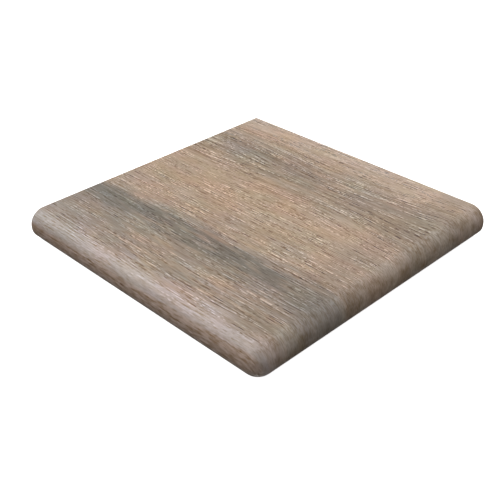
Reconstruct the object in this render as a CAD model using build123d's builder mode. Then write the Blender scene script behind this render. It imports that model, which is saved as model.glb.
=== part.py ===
import os

from build123d import *

# A stair corner tile: one fired porcelain piece for the outer corner of a stair.
# It is a square plate whose two outer edges turn down into a full-round nose, with a
# ball corner where the noses meet. The other two edges are cut square, and the
# underside has dovetail keying grooves for the adhesive.
# The front nose faces -Y, the side nose faces +X, and Z = 0 is the foot of the noses.

# Driving dimensions, in millimetres
tile_size = 330.0  # side of the square plan, over the rounded noses
nose_height = 35.0  # from the foot of the nose to the walking surface
nose_flat = 2.0  # upright band between the nose's upper and lower rounding
corner_ease = 0.5  # plan corner radius beyond the rounding that it carries
body_thickness = 14.0  # plate behind the noses
foot_land = 6.0  # flat strip under a nose, on which the tile stands
foot_radius = 3.0  # inner edge of that strip
root_radius = 6.0  # hollow where the plate meets a nose's inner face

# Dovetail keying grooves in the underside, side by side along the front nose
key_root = 7.0  # width at the bottom of a groove
key_depth = 2.0
key_flank_angle = 75.0  # between a groove's flank and its root
key_pitch = 20.0
key_margin = 9.0  # plain strip between the grooves and what borders them

# Sizes that follow
half_size = tile_size / 2
nose_radius = (nose_height - nose_flat) / 2
corner_radius = nose_radius + corner_ease
nose_depth = nose_radius + foot_land + foot_radius
hollow_size = tile_size - nose_depth
hollow_corner_radius = root_radius + corner_ease
underside_height = nose_height - body_thickness
foot_middle = nose_radius + foot_land / 2
key_field_start = -half_size + nose_depth + root_radius + key_margin
key_field_end = half_size - key_margin
key_count = int((key_field_end - key_field_start - key_root) / key_pitch) + 1
key_length = tile_size - nose_depth - root_radius - key_margin


def follows_nose(edge):
    """True for an edge that runs with the noses, and isn't on one of the two cut sides."""
    middle = edge.center()
    return middle.X > -half_size + nose_depth and middle.Y < half_size - nose_depth


def borders_hollow(edge):
    """True for an edge of the foot on its inner side, towards the hollow."""
    middle = edge.center()
    return middle.X < half_size - foot_middle and middle.Y > -half_size + foot_middle


with BuildPart() as tile:
    # Slab as high as the noses, with its outer corner rounded in plan
    with BuildSketch():
        Rectangle(tile_size, tile_size)
        outer_corner = vertices().group_by(Axis.X)[-1].sort_by(Axis.Y)[0]
        fillet(outer_corner, corner_radius)
    extrude(amount=nose_height)

    # Full-round noses on the front and the side, and the ball corner between them
    top_rim = faces().sort_by(Axis.Z)[-1].edges().filter_by(follows_nose)
    foot_rim = faces().sort_by(Axis.Z)[0].edges().filter_by(follows_nose)
    fillet(top_rim + foot_rim, nose_radius)

    # Hollow below the plate, open to both cut sides
    with BuildSketch():
        with Locations((-nose_depth / 2, nose_depth / 2)):
            Rectangle(hollow_size, hollow_size)
        inner_corner = vertices().group_by(Axis.X)[-1].sort_by(Axis.Y)[0]
        fillet(inner_corner, hollow_corner_radius)
    extrude(amount=underside_height, mode=Mode.SUBTRACT)

    # Roots of the noses, and the inner edges of their feet
    foot, underside = faces().filter_by(Plane.XY).sort_by(Axis.Z)[:2]
    foot_edges = foot.edges().filter_by(follows_nose).filter_by(borders_hollow)
    fillet(underside.edges().filter_by(follows_nose), root_radius)
    fillet(foot_edges, foot_radius)

    # Keying grooves, cut in from the left side and stopped short of the side nose
    with BuildSketch(Plane.YZ.offset(-half_size)):
        key_field_middle = (key_field_start + key_field_end) / 2
        with Locations((key_field_middle, underside_height + key_depth / 2)):
            with GridLocations(key_pitch, key_pitch, key_count, 1):
                Trapezoid(key_root, key_depth, key_flank_angle, rotation=180)
    extrude(amount=key_length, mode=Mode.SUBTRACT)

tile.part.label = "stair_corner_tile"

os.makedirs("parts", exist_ok=True)
export_step(tile.part, "parts/stair_corner_tile.step")
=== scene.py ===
import math

import bmesh
import bpy
import numpy as np
from mathutils import Matrix, Vector


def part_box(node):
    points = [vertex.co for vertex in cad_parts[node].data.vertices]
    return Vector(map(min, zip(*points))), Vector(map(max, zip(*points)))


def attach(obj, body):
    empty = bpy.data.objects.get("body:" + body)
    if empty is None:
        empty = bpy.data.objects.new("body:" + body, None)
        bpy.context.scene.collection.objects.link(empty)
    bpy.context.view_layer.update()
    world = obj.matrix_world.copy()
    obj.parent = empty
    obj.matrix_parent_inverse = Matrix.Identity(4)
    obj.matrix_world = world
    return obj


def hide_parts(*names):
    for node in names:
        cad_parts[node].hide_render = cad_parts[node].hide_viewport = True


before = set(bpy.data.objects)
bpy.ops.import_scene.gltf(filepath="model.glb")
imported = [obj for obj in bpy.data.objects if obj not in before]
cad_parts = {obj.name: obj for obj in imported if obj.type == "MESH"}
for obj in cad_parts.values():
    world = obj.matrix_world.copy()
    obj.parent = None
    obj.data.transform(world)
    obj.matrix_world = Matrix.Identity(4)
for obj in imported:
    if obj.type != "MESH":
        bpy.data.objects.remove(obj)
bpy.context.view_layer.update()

tileNode = "stair_corner_tile"
tileLow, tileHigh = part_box(tileNode)
print("frame loaded, tile from", tuple(tileLow), "to", tuple(tileHigh))

layerShift = (3.71, 7.13, 1.37)  # how far apart two noise layers are read


class Wire:
    # one socket of a node tree; sums and products of wires become Math nodes
    def __init__(self, tree, socket=None):
        self.tree = tree
        self.socket = socket

    # any node: its type, its settings, and the values or wires of its sockets
    def node(self, kind, settings=None, inputs=None, output=0):
        made = self.tree.nodes.new(kind)
        for name, value in (settings or {}).items():
            setattr(made, name, value)
        for name, value in (inputs or {}).items():
            if isinstance(value, Wire):
                self.tree.links.new(value.socket, made.inputs[name])
            else:
                made.inputs[name].default_value = value
        return Wire(self.tree, made.outputs[output])

    def maths(self, operation, *values):
        return self.node("ShaderNodeMath", {"operation": operation}, dict(enumerate(values)))

    def __add__(self, other):
        return self.maths("ADD", self, other)

    def __radd__(self, other):
        return self.maths("ADD", other, self)

    def __sub__(self, other):
        return self.maths("SUBTRACT", self, other)

    def __rsub__(self, other):
        return self.maths("SUBTRACT", other, self)

    def __mul__(self, other):
        return self.maths("MULTIPLY", self, other)

    def __rmul__(self, other):
        return self.maths("MULTIPLY", other, self)

    def __truediv__(self, other):
        return self.maths("DIVIDE", self, other)

    def __rtruediv__(self, other):
        return self.maths("DIVIDE", other, self)

    def clamp(self, low, high):
        return self.maths("MINIMUM", self.maths("MAXIMUM", self, low), high)

    # 0 below low and 1 above high, with soft ends; turned round where high is the smaller
    def rise(self, low, high):
        ends = {"Value": self, "From Min": low, "From Max": high}
        return self.node("ShaderNodeMapRange", {"interpolation_type": "SMOOTHSTEP"}, ends)

    def axis(self, index):
        return self.node("ShaderNodeSeparateXYZ", inputs={0: self}, output=index)

    def point(self, x, y, z):
        return self.node("ShaderNodeCombineXYZ", inputs={0: x, 1: y, 2: z})

    def vectors(self, operation, inputs):
        return self.node("ShaderNodeVectorMath", {"operation": operation}, inputs)

    def times(self, amount):
        return self.vectors("SCALE", {"Vector": self, "Scale": amount})

    def plus(self, other):
        return self.vectors("ADD", {0: self, 1: other})

    def scaled(self, red, green, blue):
        return self.vectors("MULTIPLY", {0: self, 1: self.point(red, green, blue)})

    # this colour with another laid over it where the mask is 1; 6, 7 and 2 are the colour sockets
    def under(self, tone, mask):
        kind = {"data_type": "RGBA", "blend_type": "MIX"}
        return self.node("ShaderNodeMix", kind, {0: mask, 6: self, 7: tone}, output=2)

    # noise from 0 to 1, with the part's length along the grain and its width across it;
    # each layer number gives another pattern
    def fibres(self, part, layer, detail=2.0):
        spread = (1 / part["length"], 1 / part["width"], 1 / part["width"])
        shift = tuple(layer * step for step in layerShift)
        spot = self.vectors("MULTIPLY_ADD", {0: self, 1: spread, 2: shift})
        look = {"Vector": spot, "Scale": 1.0, "Detail": detail}
        return self.node("ShaderNodeTexNoise", {"noise_dimensions": "3D"}, look)

    # the same noise as a mask, which sets in between the part's from and to
    def mask(self, part, layer, detail=1.0):
        return self.fibres(part, layer, detail).rise(part["from"], part["to"])


# Tone as a screen shows it, 0 to 255, turned into the shader's linear colour
def linear(tone):
    return tuple(((c / 255 + 0.055) / 1.055) ** 2.4 for c in tone) + (1.0,)


# How the wood grain runs in the print: metres, x along the grain and y across it
grainRun = {
    "seed": 3,
    "wander": [  # slow and quick swings of the lines
        {"length": 0.40, "width": 0.12, "swing": 0.010},
        {"length": 0.14, "width": 0.035, "swing": 0.003},
    ],
    "eyes": [  # places round which the lines part
        {"x": -0.140, "y": 0.074, "push": 0.009, "length": 0.10, "width": 0.030},
        {"x": 0.200, "y": 0.080, "push": 0.013, "length": 0.11, "width": 0.036},
    ],
    "eyePeak": 1.65,  # brings an eye's strongest push to the value given for it
}


def grainFlow(place):
    x = place.axis(0)
    y = place.axis(1)
    run = y
    for k, wander in enumerate(grainRun["wander"]):
        run = run + wander["swing"] * (place.fibres(wander, grainRun["seed"] + k, detail=1.0) - 0.5)
    for eye in grainRun["eyes"]:
        along = (x - eye["x"]) / eye["length"]
        across = (y - eye["y"]) / eye["width"]
        near = place.maths("EXPONENT", (along * along + 0.5 * (across * across)) * -1.0)
        run = run - grainRun["eyePeak"] * eye["push"] * across * near
    return place.point(x, run, 0.0)


# Relief that is pressed into the glaze along the same grain
reliefLook = {
    "seed": 13,
    "depth": 0.00012,
    "fade": 0.006,  # it dies out over this length above the foot
    "ridges": {"length": 0.070, "width": 0.0030, "share": 0.6},
    "furrows": {"length": 0.030, "width": 0.0014, "from": 0.52, "to": 0.70, "share": 0.4},
}


def pressedGrain(flow):
    ridges = reliefLook["ridges"]
    furrows = reliefLook["furrows"]
    raised = flow.fibres(ridges, reliefLook["seed"], detail=2.0)
    scored = flow.mask(furrows, reliefLook["seed"] + 1)
    return (1.0 - raised) * ridges["share"] + scored * furrows["share"]


# The tile's section, in metres, as in the CAD model, and the glaze's own edge
tileShape = {
    "noseFlat": 0.0020,  # upright band between a nose's upper and lower rounding
    "cornerEase": 0.0005,  # plan corner radius beyond that rounding
    "plate": 0.014,  # thickness behind the noses
    "footLand": 0.006,  # flat strip under a nose
    "footRadius": 0.003,
    "rootRadius": 0.006,
    "arris": 0.0004,  # softened edge of the glaze along the cut sides
    "glazeLine": 0.0006,  # thickness of the glaze that shows below it
    "keyRoot": 0.007,  # dovetail grooves in the underside
    "keyDepth": 0.002,
    "keyFlank": math.radians(75),
    "keyPitch": 0.020,
    "keyMargin": 0.009,
}
half = tileHigh.x
height = tileHigh.z
under = height - tileShape["plate"]
noseRadius = (height - tileShape["noseFlat"]) / 2
pole = half - noseRadius - tileShape["cornerEase"]  # the noses' corner turns about (pole, -pole)
footDepth = tileShape["footLand"] + tileShape["footRadius"] + tileShape["rootRadius"]
inner = pole - footDepth  # the hollow's corner turns about (inner, -inner)

# Faces of the skin's grid, and how many of its edges one edge of the plain foot takes in
tileGrid = {
    "flatColumns": 62,
    "noseColumns": 34,
    "flatRows": 600,  # across the grain, fine enough for the relief
    "noseRows": 104,
    "flatStride": 2,
    "noseColumnStride": 6,
    "noseRowStride": 16,
    "sideStride": 12,
    "roundSteps": 6,  # faces of a quarter round at foot and root
    "sharpAngle": math.radians(30),  # edges that turn more than this stay sharp
}


def inputSocket(tree, name, kind):
    return tree.interface.new_socket(name, in_out="INPUT", socket_type="NodeSocket" + kind).identifier


# Named inputs of the skin's tree, and what each socket is set to
def skinInputs(tree, glaze):
    sizes = {
        "Half Size": half, "Height": height, "Nose Radius": noseRadius, "Pole": pole,
        "Nose Flat": tileShape["noseFlat"], "Corner Ease": tileShape["cornerEase"],
        "Arris": tileShape["arris"], "Relief": reliefLook["depth"], "Relief Fade": reliefLook["fade"],
    }
    counts = {
        "Flat Columns": tileGrid["flatColumns"], "Nose Columns": tileGrid["noseColumns"],
        "Flat Rows": tileGrid["flatRows"], "Nose Rows": tileGrid["noseRows"],
    }
    values = {}
    for name, value in sizes.items():
        values[inputSocket(tree, name, "Float")] = value
    for name, value in counts.items():
        values[inputSocket(tree, name, "Int")] = value
    values[inputSocket(tree, "Finish", "Material")] = glaze
    return values


# Rule of the bend: where a grid point comes to lie, which way it faces, its place in the print,
# and how much of the relief it takes
def bendRule(start, size, column, row):
    travel = size("Corner Ease") + size("Nose Radius") * math.pi + size("Nose Flat")
    edge = size("Half Size") - size("Arris")
    tiny = 1e-6  # keeps the share below defined on the flat

    # the sheet before bending, and how far it runs over each nose
    flatX = (column / size("Flat Columns")).clamp(0, 1) * (edge + size("Pole")) - edge
    across = ((column - size("Flat Columns")) / size("Nose Columns")).clamp(0, 1) * travel
    down = (1.0 - row / size("Nose Rows")).clamp(0, 1) * travel
    upFlat = ((row - size("Nose Rows")) / size("Flat Rows")).clamp(0, 1)
    flatY = upFlat * (edge + size("Pole")) - size("Pole")

    # direction in plan, from the side nose to the front nose
    far = start.maths("MAXIMUM", across, down)
    share = start.maths("MINIMUM", across, down) / start.maths("MAXIMUM", far, tiny)
    toFront = start.maths("GREATER_THAN", down, across)
    turn = share * (1.0 - 2.0 * toFront) * (math.pi / 4) + toFront * (math.pi / 2)
    sinTurn = start.maths("SINE", turn)
    cosTurn = start.maths("COSINE", turn)

    # way round the section: upper rounding, upright band, lower rounding
    upper = ((far - size("Corner Ease")) / size("Nose Radius")).clamp(0, math.pi / 2)
    past = far - size("Corner Ease") - size("Nose Radius") * (math.pi / 2)
    lower = ((past - size("Nose Flat")) / size("Nose Radius")).clamp(0, math.pi / 2)
    band = past.clamp(0.0, size("Nose Flat"))
    eased = start.maths("MINIMUM", far, size("Corner Ease"))
    reach = eased + size("Nose Radius") * (start.maths("SINE", upper) + start.maths("COSINE", lower) - 1.0)
    drop = band + size("Nose Radius") * (1.0 - start.maths("COSINE", upper) + start.maths("SINE", lower))
    tilt = upper + lower
    sinTilt = start.maths("SINE", tilt)

    shaped = start.point(flatX + reach * cosTurn, flatY - reach * sinTurn, size("Height") - drop)
    outward = start.point(sinTilt * cosTurn, sinTilt * sinTurn * -1.0, start.maths("COSINE", tilt))
    place = start.point(flatX + far * cosTurn, flatY - far * sinTurn, 0.0)
    relieved = far.rise(travel, travel - size("Relief Fade"))
    return shaped, outward, place, relieved


# Glazed skin: a flat grid, bent over both noses and pressed with the grain
def skinTree(glaze):
    tree = bpy.data.node_groups.new("bentSkin", "GeometryNodeTree")
    tree.is_modifier = True
    values = skinInputs(tree, glaze)
    tree.interface.new_socket("Skin", in_out="OUTPUT", socket_type="NodeSocketGeometry")
    given = tree.nodes.new("NodeGroupInput")

    def size(name):
        return Wire(tree, given.outputs[name])

    start = Wire(tree)
    columns = size("Flat Columns") + size("Nose Columns")
    rows = size("Nose Rows") + size("Flat Rows")
    grid = {"Size X": 1.0, "Size Y": 1.0, "Vertices X": columns + 1, "Vertices Y": rows + 1}
    sheet = start.node("GeometryNodeMeshGrid", inputs=grid)
    spot = start.node("GeometryNodeInputPosition")
    column = (spot.axis(0) + 0.5) * columns
    row = (spot.axis(1) + 0.5) * rows
    shaped, outward, place, relieved = bendRule(start, size, column, row)
    pressed = pressedGrain(grainFlow(place)) * size("Relief") * relieved
    onPoints = {"data_type": "FLOAT_VECTOR", "domain": "POINT"}
    for name, field in (("printPlace", place), ("outward", outward)):
        kept = {"Geometry": sheet, "Name": name, "Value": field}
        sheet = start.node("GeometryNodeStoreNamedAttribute", onPoints, kept)
    moved = {"Geometry": sheet, "Position": shaped.plus(outward.times(pressed * -1.0))}
    sheet = start.node("GeometryNodeSetPosition", inputs=moved)
    sheet = start.node("GeometryNodeRealizeInstances", inputs={"Geometry": sheet})
    sheet = start.node("GeometryNodeSetMaterial", inputs={"Geometry": sheet, "Material": size("Finish")})
    result = tree.nodes.new("NodeGroupOutput")
    tree.links.new(sheet.socket, result.inputs["Skin"])
    return tree, values


def bendSkin(glaze):
    tree, values = skinTree(glaze)
    blank = bpy.data.objects.new("skinBlank", bpy.data.meshes.new("skinBlank"))
    bpy.context.scene.collection.objects.link(blank)
    bend = blank.modifiers.new("bentSkin", "NODES")
    bend.node_group = tree
    for identifier, value in values.items():
        bend[identifier] = value
    ready = blank.evaluated_get(bpy.context.evaluated_depsgraph_get())
    skin = bpy.data.meshes.new_from_object(ready)
    blank.modifiers.remove(bend)
    bpy.data.objects.remove(blank)
    return skin


def readVectors(data, name):
    flat = np.empty(len(data) * 3)
    data.foreach_get(name, flat)
    return flat.reshape(-1, 3)


glazed, bare, broken = range(3)  # the tile's materials, in this order


class Shell:
    # points, places in the print, faces and finishes while the tile is put together
    def __init__(self, skin):
        self.spots = [tuple(p) for p in readVectors(skin.vertices, "co")]
        self.places = [tuple(p) for p in readVectors(skin.attributes["printPlace"].data, "vector")]
        self.outward = readVectors(skin.attributes["outward"].data, "vector")
        self.faces = [tuple(p.vertices) for p in skin.polygons]
        self.finishes = [glazed] * len(self.faces)

    def add(self, x, y, z, place=(0.0, 0.0, 0.0)):
        self.spots.append((x, y, z))
        self.places.append(tuple(place))
        return len(self.spots) - 1

    def face(self, corners, finish):
        self.faces.append(tuple(int(c) for c in corners))
        self.finishes.append(finish)

    def strip(self, first, second, finish):
        for k in range(len(first) - 1):
            self.face((first[k], first[k + 1], second[k + 1], second[k]), finish)

    # a row of points on a cut side, a little way in from the skin's edge
    def inset(self, edge, depth, axis, side):
        row = []
        for k in edge:
            spot = np.array(self.spots[k]) - self.outward[k] * depth
            spot[axis] = side
            row.append(self.add(*spot, self.places[k]))
        return row

    def mesh(self, name, materials):
        made = bpy.data.meshes.new(name)
        made.from_pydata(self.spots, [], self.faces)
        places = made.attributes.new("printPlace", "FLOAT_VECTOR", "POINT")
        places.data.foreach_set("vector", np.ravel(self.places))
        for finish in materials:
            made.materials.append(finish)
        made.polygons.foreach_set("material_index", self.finishes)
        return made


# Edge of the glaze along both cut sides, and the corner between them
def glazeEdges(shell, ids):
    depths = (tileShape["arris"], tileShape["arris"] + tileShape["glazeLine"])
    leftSkin = ids[0, :]
    backSkin = ids[:, -1]
    leftTop, leftLine = (shell.inset(leftSkin, depth, 0, -half) for depth in depths)
    backTop, backLine = (shell.inset(backSkin, depth, 1, half) for depth in depths)
    cornerTop = shell.add(-half, half, height - depths[0], shell.places[ids[0, -1]])
    cornerLine = shell.add(-half, half, height - depths[1])
    shell.strip(leftSkin, leftTop, glazed)
    shell.strip(backSkin, backTop, glazed)
    shell.face((ids[0, -1], leftTop[-1], cornerTop, backTop[0]), glazed)
    shell.strip(leftTop + [cornerTop], leftLine + [cornerLine], broken)
    shell.strip([cornerTop] + backTop, [cornerLine] + backLine, broken)
    return leftTop, leftLine, backTop, backLine, cornerLine


# Section behind a nose's foot strip: distance out from the hollow's corner centre, and height
def innerSection():
    foot = tileShape["footRadius"]
    root = tileShape["rootRadius"]
    wall = root + tileShape["cornerEase"]
    steps = tileGrid["roundSteps"]
    turns = [math.pi / 2 * k / steps for k in range(steps + 1)]
    section = []
    for turn in turns:
        section.append((wall + foot - foot * math.sin(turn), foot - foot * math.cos(turn)))
    for turn in turns:
        section.append((wall - root + root * math.cos(turn), under - root + root * math.sin(turn)))
    return section


# Feet and inner faces of the noses, in rows that run from the left side round to the back
def noseFeet(shell, ids):
    flatColumns = tileGrid["flatColumns"]
    noseColumns = tileGrid["noseColumns"]
    noseRows = tileGrid["noseRows"]
    rim = [int(k) for k in ids[:, 0]] + [int(k) for k in ids[-1, 1:]]
    last = len(rim) - 1
    cornerMiddle = flatColumns + noseColumns
    sideStart = cornerMiddle + noseRows
    frontTurns = np.linspace(math.pi / 2, math.pi / 4, noseColumns + 1)
    sideTurns = np.linspace(math.pi / 4, 0, noseRows + 1)
    turns = np.concatenate([frontTurns, sideTurns[1:]])
    picks = list(range(0, flatColumns, tileGrid["flatStride"]))
    picks += range(flatColumns, cornerMiddle, tileGrid["noseColumnStride"])
    picks += range(cornerMiddle, sideStart, tileGrid["noseRowStride"])
    picks += range(sideStart, last, tileGrid["sideStride"])
    picks += [last]

    def planSpot(k, radius):
        if k < flatColumns:
            return -half + (inner + half) * k / flatColumns, -inner - radius
        if k > sideStart:
            return inner + radius, -inner + (half + inner) * (k - sideStart) / (last - sideStart)
        turn = turns[k - flatColumns]
        return inner + radius * math.cos(turn), -inner - radius * math.sin(turn)

    rings = []
    for radius, level in innerSection():
        rings.append([shell.add(*planSpot(k, radius), level) for k in picks])
    first = rings[0]
    for k in range(len(picks) - 1):
        shell.face(rim[picks[k]:picks[k + 1] + 1] + [first[k + 1], first[k]], bare)
    for ring, following in zip(rings, rings[1:]):
        shell.strip(ring, following, bare)
    return rings


# Dovetail grooves, open at the left side: their mouths there, and their outline in the underside
def keyGrooves(shell):
    margin = tileShape["keyMargin"]
    pitch = tileShape["keyPitch"]
    fieldStart = -inner + margin
    fieldEnd = half - margin
    count = int((fieldEnd - fieldStart - tileShape["keyRoot"]) / pitch) + 1
    rootHalf = tileShape["keyRoot"] / 2
    mouthHalf = rootHalf - tileShape["keyDepth"] / math.tan(tileShape["keyFlank"])
    roof = under + tileShape["keyDepth"]
    profile = ((mouthHalf, under), (rootHalf, roof), (-rootHalf, roof), (-mouthHalf, under))
    mouths = []
    outline = []
    for k in reversed(range(count)):
        middle = (fieldStart + fieldEnd) / 2 + (k - (count - 1) / 2) * pitch
        mouth = [shell.add(-half, middle + offset, level) for offset, level in profile]
        end = [shell.add(inner - margin, middle + offset, level) for offset, level in profile]
        shell.strip(mouth, end, bare)
        shell.face(end, bare)
        mouths += mouth
        outline += [mouth[0], end[0], end[-1], mouth[-1]]
    return mouths, outline


# Closes the skin with its cut sides, the feet and inner faces of the noses, and the keyed underside
def closeTile(skin, materials):
    columns = tileGrid["flatColumns"] + tileGrid["noseColumns"] + 1
    rows = tileGrid["noseRows"] + tileGrid["flatRows"] + 1
    ids = np.arange(columns * rows).reshape(columns, rows)  # the skin's points by column and row
    shell = Shell(skin)
    leftTop, leftLine, backTop, backLine, cornerLine = glazeEdges(shell, ids)
    cornerUnder = shell.add(-half, half, under)
    rings = noseFeet(shell, ids)
    leftRing = [ring[0] for ring in rings]
    backRing = [ring[-1] for ring in rings]
    shell.face((ids[0, 0], leftTop[0], leftRing[0]), bare)
    shell.face((ids[-1, -1], backTop[-1], backRing[0]), bare)
    mouths, outline = keyGrooves(shell)
    shell.face(leftLine + [cornerLine, cornerUnder] + mouths + leftRing[::-1] + [leftTop[0]], bare)
    shell.face(backLine + [backTop[-1]] + backRing + [cornerUnder, cornerLine], bare)
    shell.face([cornerUnder] + outline + rings[-1], bare)
    return shell.mesh("cornerTile", materials)


# Turns every face outwards, and counts the edges that aren't shared by just two faces
def outwardFaces(mesh):
    work = bmesh.new()
    work.from_mesh(mesh)
    bmesh.ops.recalc_face_normals(work, faces=work.faces)
    openEdges = sum(not edge.is_manifold for edge in work.edges)
    work.to_mesh(mesh)
    work.free()
    mesh.set_sharp_from_angle(angle=tileGrid["sharpAngle"])
    return openEdges


def newMaterial(name):
    material = bpy.data.materials.new(name)
    material.use_nodes = True
    material.node_tree.nodes.clear()
    return material, Wire(material.node_tree)


def plainTone(start, tone):
    wire = start.node("ShaderNodeRGB")
    wire.socket.default_value = linear(tone)
    return wire


def bumped(start, look, bumps):
    inputs = {"Strength": look["bump"], "Distance": look["bumpDepth"], "Height": bumps}
    return start.node("ShaderNodeBump", inputs=inputs)


def finishMaterial(start, inputs):
    shader = start.node("ShaderNodeBsdfPrincipled", inputs=inputs)
    out = start.tree.nodes.new("ShaderNodeOutputMaterial")
    start.tree.links.new(shader.socket, out.inputs["Surface"])


# Wood print under a satin glaze, with painted sheen and painted shade over the noses: tones as they look in
# white light, places and sizes in metres.
# A part of the print sets in between the noise values from and to.
glazeLook = {
    "base": (185, 157, 130),
    "bands": [  # middle across the grain, half width, softness of its edges and slope along the grain
        {"y": 0.158, "half": 0.026, "soft": 0.018, "slope": 0.0, "tone": (202, 177, 155), "strength": 1.0},
        {"y": 0.088, "half": 0.032, "soft": 0.018, "slope": -0.04, "tone": (161, 140, 118), "strength": 1.0},
        {"y": -0.038, "half": 0.020, "soft": 0.014, "slope": 0.02, "tone": (171, 149, 128), "strength": 0.8},
        {"y": -0.118, "half": 0.036, "soft": 0.014, "slope": 0.02, "tone": (157, 139, 122), "strength": 1.0},
        # over the front nose: partly the print's greyer tone, partly a painted sheen, pale and lilac
        {"y": -0.184, "half": 0.040, "soft": 0.012, "slope": 0.0, "tone": (187, 169, 160), "strength": 1.0},
        {"y": -0.080, "half": 0.024, "soft": 0.012, "slope": 0.03, "tone": (146, 132, 118), "strength": 1.0},
        {"y": -0.076, "half": 0.013, "soft": 0.008, "slope": 0.04, "tone": (118, 107, 93), "strength": 1.0},
    ],
    "edges": [  # how the bands' edges wander
        {"length": 0.10, "width": 0.026, "swing": 0.026},
        {"length": 0.032, "width": 0.011, "swing": 0.016},
    ],
    "wisps": {"length": 0.036, "width": 0.006, "from": 0.42, "to": 0.66, "amount": 0.55},  # gaps in the bands
    "smudges": [  # darker places: middle, and reach along and across the grain
        {"x": -0.110, "y": 0.084, "length": 0.046, "width": 0.012, "tone": (130, 118, 107), "amount": 0.45},
        {"x": -0.030, "y": 0.092, "length": 0.060, "width": 0.010, "tone": (136, 122, 109), "amount": 0.35},
        {"x": 0.100, "y": 0.086, "length": 0.075, "width": 0.022, "tone": (139, 119, 99), "amount": 0.42},
        {"x": -0.130, "y": -0.080, "length": 0.055, "width": 0.018, "tone": (121, 114, 102), "amount": 0.60},
        {"x": 0.136, "y": -0.010, "length": 0.026, "width": 0.280, "tone": (142, 124, 106), "amount": 0.42},
        {"x": -0.150, "y": -0.152, "length": 0.070, "width": 0.026, "tone": (166, 155, 148), "amount": 0.62},
        {"x": -0.135, "y": -0.120, "length": 0.075, "width": 0.022, "tone": (146, 135, 121), "amount": 0.60},
        {"x": 0.158, "y": -0.088, "length": 0.034, "width": 0.028, "tone": (108, 101, 95), "amount": 0.50},
    ],
    "smudgeEdge": (1.6, 0.1),  # squared distance, in reaches, at which it ends and at which it is full
    "patches": [  # hue patches, and what they do to red, green and blue
        {"length": 0.056, "width": 0.030, "from": 0.42, "to": 0.66, "tint": (1.05, 0.985, 0.95)},
        {"length": 0.050, "width": 0.026, "from": 0.42, "to": 0.66, "tint": (0.93, 0.97, 0.99)},
        {"length": 0.044, "width": 0.022, "from": 0.42, "to": 0.66, "tint": (0.99, 1.005, 0.93)},
        {"length": 0.044, "width": 0.022, "from": 0.42, "to": 0.66, "tint": (1.00, 0.975, 1.005)},
    ],
    "figure": {"y": 0.092, "half": 0.047, "soft": 0.013},  # stretch across the grain with long lines
    "figureLines": [
        {"length": 0.60, "width": 0.007, "from": 0.35, "to": 0.65, "change": 0.22},
        {"length": 0.10, "width": 0.0018, "from": 0.35, "to": 0.65, "change": 0.26},
    ],
    "streaks": [
        {"length": 0.140, "width": 0.0060, "from": 0.30, "to": 0.70, "change": 0.08},
        {"length": 0.060, "width": 0.0024, "from": 0.35, "to": 0.65, "change": 0.14},
        {"length": 0.012, "width": 0.0009, "from": 0.35, "to": 0.65, "change": 0.28},
    ],
    "dashes": [  # thin lines, light and dark, cut to short lengths
        {"length": 0.050, "width": 0.0012, "from": 0.55, "to": 0.62, "cut": 0.0044, "change": 1.40},
        {"length": 0.042, "width": 0.0011, "from": 0.54, "to": 0.61, "cut": 0.0068, "change": -0.90},
    ],
    "cuts": {"width": 0.0024, "from": 0.45, "to": 0.55},
    "clusters": {"length": 0.050, "width": 0.012, "from": 0.31, "to": 0.55},  # the dashes come in these
    "dashShade": {"aside": 0.0011, "share": -0.55},  # a line of the other tone runs along each dash
    "stretches": [  # where light and dark dashes are fainter or stronger than elsewhere
        {"y": 0.152, "half": 0.024, "soft": 0.010, "light": 0.40, "dark": 1.90},
        {"y": 0.100, "half": 0.018, "soft": 0.008, "light": 1.35, "dark": 1.20},
        {"y": -0.157, "half": 0.014, "soft": 0.007, "light": 0.70, "dark": 1.10},
    ],
    "stipple": {"length": 0.0014, "width": 0.0010, "change": 0.20},  # finest grain of the print
    "ragged": {"length": 0.030, "width": 0.0022, "swing": 0.010},  # how unevenly a nose's print, its painted sheen and its painted shade begin
    "sideNose": {  # way past the top's edge where it begins and is full, tones (high on the nose a greyer tone, partly print and partly painted sheen; low on it painted shade), and mottling high and low
        # tone: a greyer tone high on the side nose, partly print and partly painted sheen
        "from": 0.001, "to": 0.006, "fade": 0.88, "tone": (169, 156, 145), "strength": 0.28,
        # the lower tone: painted shade, darker and browner low on the side nose
        "lowFrom": 0.0070, "lowTo": 0.0150, "lowSlope": 0.0,
        "lowShadeTone": (152, 132, 115), "lowShadeStrength": 0.30,
        "strokes": {"length": 0.0040, "width": 0.0008, "change": 0.80, "high": 1.0, "low": 0.55},
        "clouds": {"length": 0.018, "width": 0.0150, "change": 0.55, "high": 0.6, "low": 1.0},
    },
    "frontNose": {
        # tone: a pale lilac painted highlight high on the front nose, over the print's greyer tone
        "from": 0.000, "to": 0.010, "fade": 0.58, "tone": (180, 168, 165), "strength": 0.32,
        # the lower tone: painted shade, the front nose turns darker and browner low down, where the painted
        # highlight ends
        "lowFrom": 0.0162, "lowTo": 0.0218, "lowSlope": 0.020,
        "lowShadeTone": (174, 149, 131), "lowShadeStrength": 0.92,
        "strokes": {"length": 0.006, "width": 0.0008, "change": 0.30, "high": 1.0, "low": 0.60},
        "clouds": {"length": 0.010, "width": 0.0026, "change": 0.62, "high": 0.25, "low": 1.0},
    },
    "mottleEdge": (0.32, 0.68),  # noise values between which strokes and clouds set in
    "gain": (0.83, 1.05, 1.40),  # how strongly the lines act on red, green and blue
    "pores": {"length": 0.010, "width": 0.0004, "from": 0.60, "to": 0.70},
    "poreTone": (96, 80, 68),
    "poreStrength": 0.35,
    "roughness": 0.50,
    "poreRoughness": 0.15,  # added in the pores
    "paleGloss": 0.10,  # taken off along light lines
    "bump": 0.35,
    "bumpDepth": 0.0001,
    "ior": 1.5,
    "coat": 0.8,
    "coatRoughness": 0.36,
}

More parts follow.
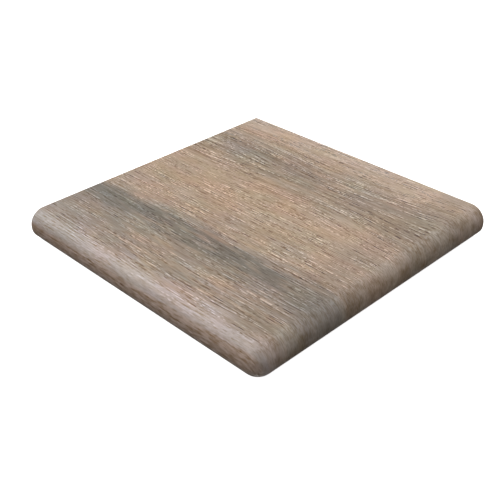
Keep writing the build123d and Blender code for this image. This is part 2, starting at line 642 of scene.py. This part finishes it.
# Noise layer of each part of the print, or of the first where there are more
printLayers = {
    "edges": (31, 33), "wisps": 32, "patches": 40, "figure": 45, "streaks": 51, "dashes": 55, "pores": 60,
    "clusters": 70, "cuts": 75, "strokes": 80, "clouds": 85, "ragged": 90, "stipple": 95,
}


# 1 inside a stretch across the grain and 0 outside it, with soft edges
def within(across, stretch):
    apart = across.maths("ABSOLUTE", across - stretch["y"])
    return apart.rise(stretch["half"] + stretch["soft"], stretch["half"] - stretch["soft"])


# Ground of the print: bands with uneven edges, smudges and hue patches
def printGround(start, flow):
    look = glazeLook
    along = flow.axis(0)
    across = flow.axis(1)
    tone = plainTone(start, look["base"])
    for edge, layer in zip(look["edges"], printLayers["edges"]):
        across = across + edge["swing"] * (flow.fibres(edge, layer, detail=3.0) - 0.5)
    whole = 1.0 - look["wisps"]["amount"] * flow.mask(look["wisps"], printLayers["wisps"], detail=2.0)
    for band in look["bands"]:
        mask = within(across - band["slope"] * along, band)
        tone = tone.under(linear(band["tone"]), mask * band["strength"] * whole)
    for smudge in look["smudges"]:
        lengths = (along - smudge["x"]) / smudge["length"]
        widths = (across - smudge["y"]) / smudge["width"]
        mask = (lengths * lengths + widths * widths).rise(*look["smudgeEdge"])
        tone = tone.under(linear(smudge["tone"]), mask * smudge["amount"])
    for k, patch in enumerate(look["patches"]):
        mask = flow.mask(patch, printLayers["patches"] + k)
        tone = tone.scaled(*(1.0 + (gain - 1.0) * mask for gain in patch["tint"]))
    return tone


# How far a dash changes the tone, more or less in each of the stretches
def dashChange(across, dash):
    change = dash["change"]
    kind = "light" if change > 0 else "dark"
    for stretch in glazeLook["stretches"]:
        change = change * (1.0 + (stretch[kind] - 1.0) * within(across, stretch))
    return change


# Lighter and darker lines of the grain, as a change of the tone: 0 leaves it as it is
def printGrain(flow):
    look = glazeLook
    across = flow.axis(1)
    figured = within(across, look["figure"])
    light = 0.0
    for k, line in enumerate(look["figureLines"]):
        light = light + line["change"] * (flow.mask(line, printLayers["figure"] + k) - 0.5) * figured
    for k, streak in enumerate(look["streaks"]):
        light = light + streak["change"] * (flow.mask(streak, printLayers["streaks"] + k) - 0.5)
    shade = look["dashShade"]
    for k, dash in enumerate(look["dashes"]):
        change = dashChange(across, dash)
        clusters = flow.mask(look["clusters"], printLayers["clusters"] + k, detail=2.0)
        cuts = flow.mask({"length": dash["cut"], **look["cuts"]}, printLayers["cuts"] + k)
        for aside, share in ((0.0, 1.0), (shade["aside"], shade["share"])):
            lines = flow.plus((0.0, aside, 0.0)).mask(dash, printLayers["dashes"] + k)
            light = light + share * change * lines * clusters * cuts
    dots = flow.fibres(look["stipple"], printLayers["stipple"], detail=0.0)
    return light + look["stipple"]["change"] * (dots - 0.5)


# Over the noses the lines grow faint, and the print takes other tones and turns mottled; the other tones are
# painted light: a pale painted sheen high on each nose, over the print's greyer tone, and painted shade low
# on it
def noseTonesWithPaintedLight(place, flow, tone, light):
    look = glazeLook
    ragged = look["ragged"]
    uneven = ragged["swing"] * (flow.fibres(ragged, printLayers["ragged"], detail=2.0) - 0.5)
    noses = (("sideNose", place.axis(0) - pole), ("frontNose", place.axis(1) * -1.0 - pole))
    for k, (name, beyond) in enumerate(noses):
        nose = look[name]
        way = beyond + uneven
        over = way.rise(nose["from"], nose["to"])
        # low: where the painted shade sets in, low on the nose
        low = (way + nose["lowSlope"] * place.axis(0)).rise(nose["lowFrom"], nose["lowTo"])
        light = light * (1.0 - nose["fade"] * over)
        for part in ("strokes", "clouds"):
            mottle = nose[part]
            spots = flow.fibres(mottle, printLayers[part] + k, detail=2.0).rise(*look["mottleEdge"])
            share = mottle["high"] + (mottle["low"] - mottle["high"]) * low
            light = light + mottle["change"] * (spots - 0.5) * over * share
        # pale tone high on the nose: painted sheen over the print's greyer tone; darker tone low on it:
        # painted shade
        tone = tone.under(linear(nose["tone"]), over * nose["strength"])
        tone = tone.under(linear(nose["lowShadeTone"]), low * nose["lowShadeStrength"])
    return tone, light


def woodLookGlaze():
    look = glazeLook
    material, start = newMaterial("woodLookGlaze")
    place = start.node("ShaderNodeAttribute", {"attribute_name": "printPlace"}, output="Vector")
    flow = grainFlow(place)
    tone, light = noseTonesWithPaintedLight(place, flow, printGround(start, flow), printGrain(flow))
    tone = tone.scaled(*(1.0 + gain * light for gain in look["gain"]))
    pores = flow.mask(look["pores"], printLayers["pores"])
    finishMaterial(start, {
        "Base Color": tone.under(linear(look["poreTone"]), pores * look["poreStrength"]),
        "Roughness": look["roughness"] + look["poreRoughness"] * pores - look["paleGloss"] * light,
        "IOR": look["ior"],
        "Coat Weight": look["coat"],
        "Coat Roughness": look["coatRoughness"],
        "Normal": bumped(start, look, light - pores),
    })
    return material


# Unglazed fired body of the underside and the cut sides
bodyLook = {
    "tone": (216, 203, 184),
    "dust": {"length": 0.04, "width": 0.03, "from": 0.45, "to": 0.70, "tone": (234, 226, 213)},
    "dustStrength": 0.5,
    "sawn": {"length": 0.030, "width": 0.0012, "from": 0.40, "to": 0.70, "tone": (190, 177, 158)},
    "sawnStrength": 0.5,
    "specks": {"length": 0.0022, "width": 0.0022, "from": 0.64, "to": 0.74, "tone": (138, 121, 104)},
    "specksStrength": 0.6,
    "grit": {"length": 0.0008, "width": 0.0008},
    "gritGloss": 0.1,
    "roughness": 0.85,
    "bump": 0.4,
    "bumpDepth": 0.0003,
}
bodyLayers = {"dust": 51, "specks": 52, "grit": 53, "sawn": 54}


def firedBody():
    look = bodyLook
    material, start = newMaterial("firedBody")
    spot = start.node("ShaderNodeTexCoord", output="Object")
    upright = start.point(spot.axis(2), spot.axis(0), spot.axis(1))  # saw marks run up and down
    dust = spot.mask(look["dust"], bodyLayers["dust"], detail=3.0)
    sawn = upright.mask(look["sawn"], bodyLayers["sawn"], detail=2.0)
    specks = spot.mask(look["specks"], bodyLayers["specks"])
    grit = spot.fibres(look["grit"], bodyLayers["grit"], detail=3.0)
    tone = plainTone(start, look["tone"])
    for name, mask in (("dust", dust), ("sawn", sawn), ("specks", specks)):
        tone = tone.under(linear(look[name]["tone"]), mask * look[name + "Strength"])
    finishMaterial(start, {
        "Base Color": tone,
        "Roughness": look["roughness"] - look["gritGloss"] * grit,
        "Normal": bumped(start, look, grit + sawn * look["sawnStrength"] - specks),
    })
    return material


# Broken edge of the glaze, seen as a thin line on the cut sides
glazeLineLook = {
    "tone": (196, 186, 172),
    "chips": {"length": 0.006, "width": 0.006, "from": 0.4, "to": 0.7, "tone": (120, 104, 90)},
    "chipStrength": 0.6,
    "roughness": 0.5,
    "dull": {"length": 0.002, "width": 0.002, "change": 0.2},
}
glazeLineLayers = {"chips": 61, "dull": 62}


def glazeLine():
    look = glazeLineLook
    material, start = newMaterial("glazeLine")
    spot = start.node("ShaderNodeTexCoord", output="Object")
    chips = spot.mask(look["chips"], glazeLineLayers["chips"], detail=2.0)
    dull = spot.fibres(look["dull"], glazeLineLayers["dull"], detail=2.0)
    tone = plainTone(start, look["tone"])
    finishMaterial(start, {
        "Base Color": tone.under(linear(look["chips"]["tone"]), chips * look["chipStrength"]),
        "Roughness": look["roughness"] + look["dull"]["change"] * dull,
    })
    return material


glaze = woodLookGlaze()
finishes = [glaze, firedBody(), glazeLine()]
print("materials made")
skin = bendSkin(glaze)
print("skin bent,", len(skin.polygons), "faces")
mesh = closeTile(skin, finishes)
openEdges = outwardFaces(mesh)
tile = bpy.data.objects.new("cornerTile", mesh)
bpy.context.scene.collection.objects.link(tile)
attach(tile, "root")
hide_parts(tileNode)
print("tile closed,", len(mesh.polygons), "faces,", openEdges, "open edges")

# Studio: white floor, pale dome and soft lamps, the strongest from the left
studio = {
    "floorSide": 12.0,
    "floorTone": (0.9, 0.9, 0.9, 1.0),
    "floorRoughness": 0.9,
    "floorGlow": 0.90,
    "lampDistance": 2.0,
    "lampSide": 2.0,
    "lamps": {  # direction it comes from, power in watts and spread in degrees
        "key": ((-0.41, -0.40, 0.82), 22.5, 180),
        "back": ((-0.05, 0.60, 0.80), 6.0, 180),
        "under": ((0.0, 0.0, -1.0), 8.0, 40),
    },
    "white": (1.0, 1.0, 1.0, 1.0),
    "dome": 0.47,  # strength above the horizon, and below it
    "below": 0.07,
    "horizon": 0.05,  # half width of the soft change between them
}


def layFloor():
    side = studio["floorSide"] / 2
    corners = [(-side, -side, 0), (side, -side, 0), (side, side, 0), (-side, side, 0)]
    mesh = bpy.data.meshes.new("floor")
    mesh.from_pydata(corners, [], [(0, 1, 2, 3)])
    material, start = newMaterial("floorWhite")
    finishMaterial(start, {
        "Base Color": studio["floorTone"],
        "Roughness": studio["floorRoughness"],
        "Alpha": 1.0 - start.node("ShaderNodeNewGeometry", output="Backfacing"),  # clear from below
        "Emission Color": studio["white"],
        "Emission Strength": studio["floorGlow"],
    })
    mesh.materials.append(material)
    floor = bpy.data.objects.new("floor", mesh)
    floor.location.z = tileLow.z
    floor.visible_diffuse = False
    floor.visible_glossy = False
    bpy.context.scene.collection.objects.link(floor)


# Dome that the camera sees as white, and that lights the tile less strongly
def raiseDome():
    world = bpy.data.worlds.new("dome")
    world.use_nodes = True
    world.node_tree.nodes.clear()
    start = Wire(world.node_tree)
    up = start.node("ShaderNodeTexCoord", output="Generated").axis(2)
    above = up.rise(-studio["horizon"], studio["horizon"])
    strength = above * (studio["dome"] - studio["below"]) + studio["below"]
    seen = start.node("ShaderNodeLightPath", output="Is Camera Ray")
    strength = strength + seen * (1.0 - strength)
    dome = start.node("ShaderNodeBackground", inputs={"Color": studio["white"], "Strength": strength})
    out = world.node_tree.nodes.new("ShaderNodeOutputWorld")
    world.node_tree.links.new(dome.socket, out.inputs["Surface"])
    bpy.context.scene.world = world


def hangLamps():
    for name, (source, power, spread) in studio["lamps"].items():
        lamp = bpy.data.lights.new(name, "AREA")
        lamp.shape = "SQUARE"
        lamp.size = studio["lampSide"]
        lamp.energy = power
        lamp.spread = math.radians(spread)
        light = bpy.data.objects.new(name, lamp)
        towards = Vector(source).normalized()
        light.location = towards * studio["lampDistance"]
        light.rotation_euler = towards.to_track_quat("Z", "Y").to_euler()
        light.visible_camera = False
        light.visible_glossy = towards.z > 0  # no glint along the lower edges
        bpy.context.scene.collection.objects.link(light)


# Viewpoint of the photograph, in degrees and metres from the tile's middle; the picture is square
viewpoint = {
    "azimuth": 45.58,
    "elevation": 32.56,
    "roll": -0.69,
    "distance": 0.8838,
    "right": -0.00726,
    "up": -0.02539,
    "focalPixels": 856.4,
    "picturePixels": 500,
}


def placeCamera():
    azimuth, elevation, roll = (math.radians(viewpoint[name]) for name in ("azimuth", "elevation", "roll"))
    level = math.cos(elevation)
    back = Vector((math.sin(azimuth) * level, -math.cos(azimuth) * level, math.sin(elevation)))
    right = Vector((math.cos(azimuth), math.sin(azimuth), 0))
    up = back.cross(right)
    rolledRight = math.cos(roll) * right + math.sin(roll) * up
    rolledUp = math.cos(roll) * up - math.sin(roll) * right
    lens = bpy.data.cameras.new("camera")
    lens.lens = viewpoint["focalPixels"] / viewpoint["picturePixels"] * lens.sensor_width
    camera = bpy.data.objects.new("camera", lens)
    middle = Vector((0, 0, (tileLow.z + tileHigh.z) / 2))
    aside = rolledRight * viewpoint["right"] + rolledUp * viewpoint["up"]
    turned = Matrix((rolledRight, rolledUp, back)).transposed().to_4x4()
    turned.translation = middle + aside + back * viewpoint["distance"]
    camera.matrix_world = turned
    bpy.context.scene.collection.objects.link(camera)
    bpy.context.scene.camera = camera


layFloor()
raiseDome()
hangLamps()
placeCamera()
bpy.context.scene.view_settings.view_transform = "Standard"
print("studio lit and camera placed")
